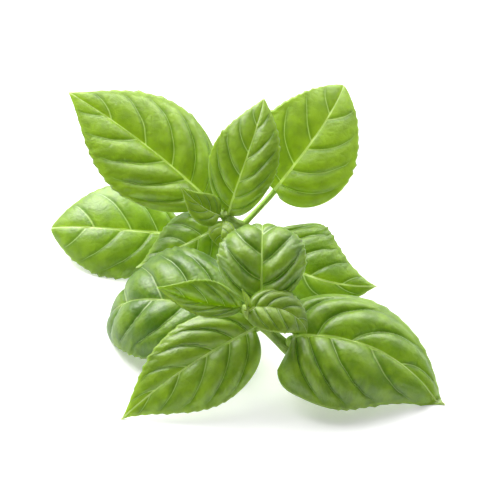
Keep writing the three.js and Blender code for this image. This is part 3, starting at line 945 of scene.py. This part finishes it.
def direction(heading, pitch):
    h, p = math.radians(heading), math.radians(pitch)
    return Vector((math.cos(p) * math.cos(h), math.cos(p) * math.sin(h), math.sin(p)))


def along_at(leaf, u):
    pitch = mix(leaf["pitch"], leaf["end_pitch"], u ** leaf["curl"])
    return direction(leaf["heading"] + leaf["sweep"] * u, pitch)


def midrib_points(leaf, foot):
    """Points in mm from a leaf's foot to its tip."""
    points, step = [foot.copy()], leaf["length"] / MIDRIB_STEPS
    for i in range(MIDRIB_STEPS):
        points.append(points[-1] + along_at(leaf, (i + 0.5) / MIDRIB_STEPS) * step)
    return points


def nodes_of(shoot):
    """The stem's nodes in mm, from its cut end to its tip."""
    nodes = [Vector((*shoot["cut_end"], STEM_REST))]
    for length, heading, pitch in shoot["internodes"]:
        nodes.append(nodes[-1] + direction(heading, pitch) * length)
    return nodes


print("nodes:", {name: len(nodes_of(shoot)) for name, shoot in SHOOTS.items()})

# %% A blade
SMALL_HALF = 9  # mm: a blade with both halves narrower than this is a small one
ROWS_PER_VEIN, COLUMNS = 26, 36
SMALL_ROWS_PER_VEIN, SMALL_COLUMNS = 18, 20


def is_small(leaf):
    return max(leaf["halves"]) < SMALL_HALF


def grow_blade(name, leaf, foot):
    """One blade from its foot, which is in mm."""
    midrib = line_mesh(name, [p * MM for p in midrib_points(leaf, foot)])
    rows_per_vein, columns = (
        (SMALL_ROWS_PER_VEIN, SMALL_COLUMNS) if is_small(leaf) else (ROWS_PER_VEIN, COLUMNS)
    )
    values = {
        "Length": leaf["length"] * MM, "Roll": math.radians(leaf["roll"]),
        "Belly": leaf["belly"], "Base": leaf["base"], "Point": leaf["point"],
        "Veins": leaf["veins"], "Stagger": leaf["stagger"], "Lean": leaf["lean"],
        "Rows": rows_per_vein * (leaf["veins"] + 1), "Columns": columns,
        "Quilt": leaf["quilt"], "Age": leaf["age"], "Seed": float(leaf["seed"]), "Material": BLADE,
    }
    for k, side in enumerate(("Left", "Right")):
        slope, margin = (math.radians(a) for a in leaf[side.lower()])
        values[f"{side} Half"] = leaf["halves"][k] * MM
        values[f"{side} Lobe"] = float(leaf["lobes"][k])
        values[f"{side} Slope"], values[f"{side} Bend"] = slope, margin - slope
    return grown(midrib, BLADE_TREE, values)


print("a small blade is narrower than", SMALL_HALF, "mm on each side")

# %% A leafstalk
STALK_RADIUS, SMALL_STALK = 1.0, 0.6  # mm on a large leaf, and how thick a small leaf's is against that
ROOT_SWELLING, ROOT_REACH = 0.3, 2.5  # how much thicker it is at its root, and for how many mm
STALK_STEPS, RUN_STEPS = 12, 3  # from the stem to the foot, and on under the midrib
STALK_SINK = 0.7  # how deep its middle lies under the blade, against its radius
RUN_START, RUN_END, RUN_SINK = 0.8, 0.2, 0.1  # how thick it is under the midrib, and how many mm deeper


def stalk_line(leaf, root, foot, share):
    """A point of the curve that leaves the stem towards the foot, and comes in along the midrib."""
    near_root, near_foot = root.lerp(foot, 1 / 3), foot - along_at(leaf, 0) * (leaf["stalk"][0] / 3)
    rest = 1 - share
    start = root * rest ** 3 + near_root * 3 * share * rest ** 2
    return start + near_foot * 3 * share ** 2 * rest + foot * share ** 3


def grow_stalk(name, leaf, root, foot):
    """The stalk from the stem to the blade's foot, running on under the midrib."""
    along = along_at(leaf, 0)
    level = Vector((0, 0, 1)).cross(along).normalized()
    face = along.cross(Matrix.Rotation(math.radians(leaf["roll"]), 3, along) @ level)
    size = (SMALL_STALK if is_small(leaf) else 1.0) * STALK_RADIUS
    points, radii = [], []
    for i in range(STALK_STEPS + 1):
        share = i / STALK_STEPS
        sink = max(0.0, (share - 0.5) * 2) ** 2
        radius = size * (1.0 + ROOT_SWELLING * math.exp(-(share * leaf["stalk"][0] / ROOT_REACH) ** 2))
        points.append(stalk_line(leaf, root, foot, share) - face * (radius * STALK_SINK * sink))
        radii.append(radius)
    midrib = midrib_points(leaf, foot)
    for i in range(1, RUN_STEPS + 1):
        radius = size * mix(RUN_START, RUN_END, i / RUN_STEPS)
        points.append(midrib[i] - face * (radius * STALK_SINK + RUN_SINK))
        radii.append(radius)
    between_nodes = [0.5] * len(points)
    path = line_mesh(name, [p * MM for p in points], radius=[r * MM for r in radii], count=between_nodes)
    return grown(path, TUBE_TREE, {"Rings": 48, "Sides": 16, "Squareness": 0.02, "Material": STALK})


print("a large leafstalk is", 2 * STALK_RADIUS, "mm thick")

# %% Growing every leaf
pieces = {}
seed = 0
for shoot_name, shoot in SHOOTS.items():
    nodes = nodes_of(shoot)
    for leaf_name, own in shoot["leaves"].items():
        seed += 1
        leaf = {**PLAIN_LEAF, **own, "seed": seed}
        root = nodes[leaf["node"]]
        length, heading, pitch = leaf["stalk"]
        foot = root + direction(heading, pitch) * length
        name = f"{shoot_name}_{leaf_name}_leaf"
        made = joined(name, [grow_blade(name, leaf, foot), grow_stalk(name + "_stalk", leaf, root, foot)])
        pieces[f"{shoot_name}_leaf_{leaf_name}"] = made
        print(name, "faces", len(made.data.polygons))

# %% [markdown]
# ## Stems and buds
# Each stem is the same kind of tube, with soft corners. Its bud is a few folded leaflets, made with the
# blade's tree. A flat cap would make the cut end look like plastic, so a few rings of points give it sunken
# pith and a raised, slightly torn ring round it.

# %% The cut end of a stem
STEM_RADIUS, STEM_TIP_RADIUS, STEM_SWELLING, STEM_SQUARENESS = 2.0, 1.2, 0.12, 0.06
CUT_SIDES = 48
CUT_TORN = 0.03  # mm
# Each ring of the cut: how far out it lies, as a share of the radius, and how far it stands out, in mm.
CUT_RINGS = [
    (0.06, 0.08), (0.25, 0.08), (0.45, 0.1), (0.6, 0.14),
    (0.72, 0.18), (0.84, 0.16), (0.92, 0.08), (0.97, -0.1),
]


def cut_points(middle, outwards):
    """The rings' points in metres, and how deep in the stem each lies, from the rim, 0, to the middle, 1."""
    sideways = outwards.cross(Vector((0, 0, 1))).normalized()
    upwards = sideways.cross(outwards)
    radius = STEM_RADIUS * (1 + STEM_SWELLING)
    points, pith = [], []
    for share, stand in CUT_RINGS:
        for i in range(CUT_SIDES):
            a = 2 * math.pi * i / CUT_SIDES
            r = radius * share * (1 - STEM_SQUARENESS * math.cos(4 * a))
            torn = CUT_TORN * math.sin(7 * a + 9 * share) * math.sin(3 * a + 2)
            p = middle + (sideways * math.cos(a) + upwards * math.sin(a)) * r + outwards * (stand + torn)
            points.append((p.x * MM, p.y * MM, max(p.z * MM, EDGE_REST)))
            pith.append(1 - share)
    return points, pith


def grow_cut(name, middle, outwards):
    """The cut face of a stem, on the end of its tube."""
    points, pith = cut_points(middle, outwards)
    faces = [tuple(range(CUT_SIDES))]
    for ring in range(len(CUT_RINGS) - 1):
        for i in range(CUT_SIDES):
            j = (i + 1) % CUT_SIDES
            inner, outer = ring * CUT_SIDES, (ring + 1) * CUT_SIDES
            faces.append((inner + i, outer + i, outer + j, inner + j))
    mesh = bpy.data.meshes.new(name)
    mesh.from_pydata(points, [], faces)
    mesh.attributes.new("pith", "FLOAT", "POINT").data.foreach_set("value", pith)
    mesh.polygons.foreach_set("use_smooth", [True] * len(faces))
    mesh.materials.append(STEM)
    return placed(name, mesh)


print("a cut end has", len(CUT_RINGS), "rings of", CUT_SIDES, "points")

# %% Growing the stems
BUD_HALF, BUD_FOLD, BUD_DROOP = 0.17, (60, 20), 10
BUD_SEED = 20  # the first leaflet's

for shoot_name, shoot in SHOOTS.items():
    nodes = nodes_of(shoot)
    last = len(nodes) - 1
    radii = [mix(STEM_RADIUS, STEM_TIP_RADIUS, (i / last) ** 2) * MM for i in range(last + 1)]
    counts = [float(i) for i in range(last + 1)]
    path = line_mesh(shoot_name + "_stalk", [p * MM for p in nodes], radius=radii, count=counts)
    stem = grown(path, TUBE_TREE, {
        "Rings": 160, "Sides": 40, "Squareness": STEM_SQUARENESS, "Swelling": STEM_SWELLING, "Material": STEM,
    })
    cut = grow_cut(shoot_name + "_cut", nodes[0], (nodes[0] - nodes[1]).normalized())
    leaflets = []
    for k, (length, heading, pitch) in enumerate(shoot["bud"]):
        leaflet = {
            **PLAIN_LEAF, "length": length, "heading": heading, "sweep": 0, "pitch": pitch,
            "end_pitch": pitch - BUD_DROOP, "roll": 0, "veins": 2, "halves": (length * BUD_HALF,) * 2,
            "left": BUD_FOLD, "right": BUD_FOLD, "age": 0.0, "seed": BUD_SEED + k,
        }
        leaflets.append(grow_blade(f"{shoot_name}_leaflet_{k}", leaflet, nodes[-2]))
    pieces[f"{shoot_name}_stem"] = joined(f"{shoot_name}_stalk_and_bud", [stem, cut, *leaflets])
    print(shoot_name, "stem faces", len(stem.data.polygons))

# %% Hand the pieces to the frame
for cad_node, piece in pieces.items():
    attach(piece, "root")
    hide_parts(cad_node)
    leaf_name = cad_node.split("_leaf_")[-1]
    "stem" if cad_node.endswith("stem") else "young_leaf" if "small" in leaf_name else "leaf"
print("pieces:", len(pieces))

# %% [markdown]
# ## Table, light and camera
# The bunch lies on a plain white table. Leaves look alive when light comes through them, so most of the
# light comes from a bright window behind the bunch. It is painted on the world, because a lamp of that size
# would also show hard edges in the waxy skin. One soft lamp gives the leaves their glints.

# %% The table
TABLE_REACH = 3  # metres from the middle to each edge
TABLE_SKIN = {
    "Base Color": (0.88, 0.88, 0.88, 1), "Roughness": 0.9, "Specular IOR Level": 0.1,
    "Emission Color": (1, 1, 1, 1), "Emission Strength": 0.26,
}

table_mesh = bpy.data.meshes.new("table")
corners = [(x * TABLE_REACH, y * TABLE_REACH, 0) for x, y in ((-1, -1), (1, -1), (1, 1), (-1, 1))]
table_mesh.from_pydata(corners, [], [(0, 1, 2, 3)])
table_mesh.materials.append(new_material("white table", TABLE_SKIN)[0])
table = placed("table", table_mesh)

# %% The lamp
CENTRE = Vector((3.5, 8, 18)) * MM  # where the camera and the lamp point
LAMP_PLACE = Vector((-0.40, 0.35, 0.65))  # metres from there
LAMP_SIZE, LAMP_POWER = 0.5, 7.0

lamp = bpy.data.lights.new("key", "AREA")
lamp.size, lamp.energy = LAMP_SIZE, LAMP_POWER
key = placed("key", lamp)
key.location = CENTRE + LAMP_PLACE
key.rotation_euler = (-LAMP_PLACE).to_track_quat("-Z", "Y").to_euler()
print("lamp:", LAMP_POWER, "W from", round(LAMP_PLACE.length, 2), "m away")

# %% The room's own light
# A lit ceiling, a tall bright window wall behind the bunch, dim walls at its sides, and dark low down.
CEILING, WINDOW, SIDE_WALLS = 0.4, 7.0, 0.2  # how bright each is
CEILING_EDGE, FLOOR_EDGE = (0.72, 0.92), (0.2, 0.5)  # the heights where the ceiling and the walls fade in
OVERHEAD = 0.001  # keeps straight up from having no heading

world = bpy.data.worlds.new("studio")
world.use_nodes = True
room = world.node_tree
heading = vector_of("NORMALIZE", node(room, "ShaderNodeTexCoord", output="Generated"))
rightwards, backwards, upwards = parts(heading)
level = math_of("MAXIMUM", math_of("SQRT", rightwards * rightwards + backwards * backwards), OVERHEAD)
ceiling = ramp(upwards, *CEILING_EDGE)
walls = (1.0 - ceiling) * ramp(upwards, *FLOOR_EDGE)
behind, beside = math_of("MAXIMUM", backwards / level, 0.0), rightwards / level
glow = ceiling * CEILING + walls * (behind * behind * WINDOW + beside * beside * SIDE_WALLS)
backdrop = room.nodes["Background"]
backdrop.inputs["Color"].default_value = (1, 1, 1, 1)
plug(room, backdrop.inputs["Strength"], glow)
bpy.context.scene.world = world
bpy.context.scene.view_settings.view_transform = "Standard"
print("room:", len(room.nodes), "nodes")

# %% Camera
ELEVATION, DISTANCE = 40, 0.6944  # degrees above the table, and metres from the bunch
LENS, SENSOR = 150, 36  # mm

camera = bpy.data.cameras.new("camera")
camera.lens, camera.sensor_width = LENS, SENSOR
camera.clip_start, camera.clip_end = 0.01, 20
eye = placed("camera", camera)
tilt = math.radians(ELEVATION)
eye.location = CENTRE + Vector((0, -math.cos(tilt), math.sin(tilt))) * DISTANCE
eye.rotation_euler = (math.pi / 2 - tilt, 0, 0)
bpy.context.scene.camera = eye
print("camera:", LENS, "mm lens,", ELEVATION, "degrees up")
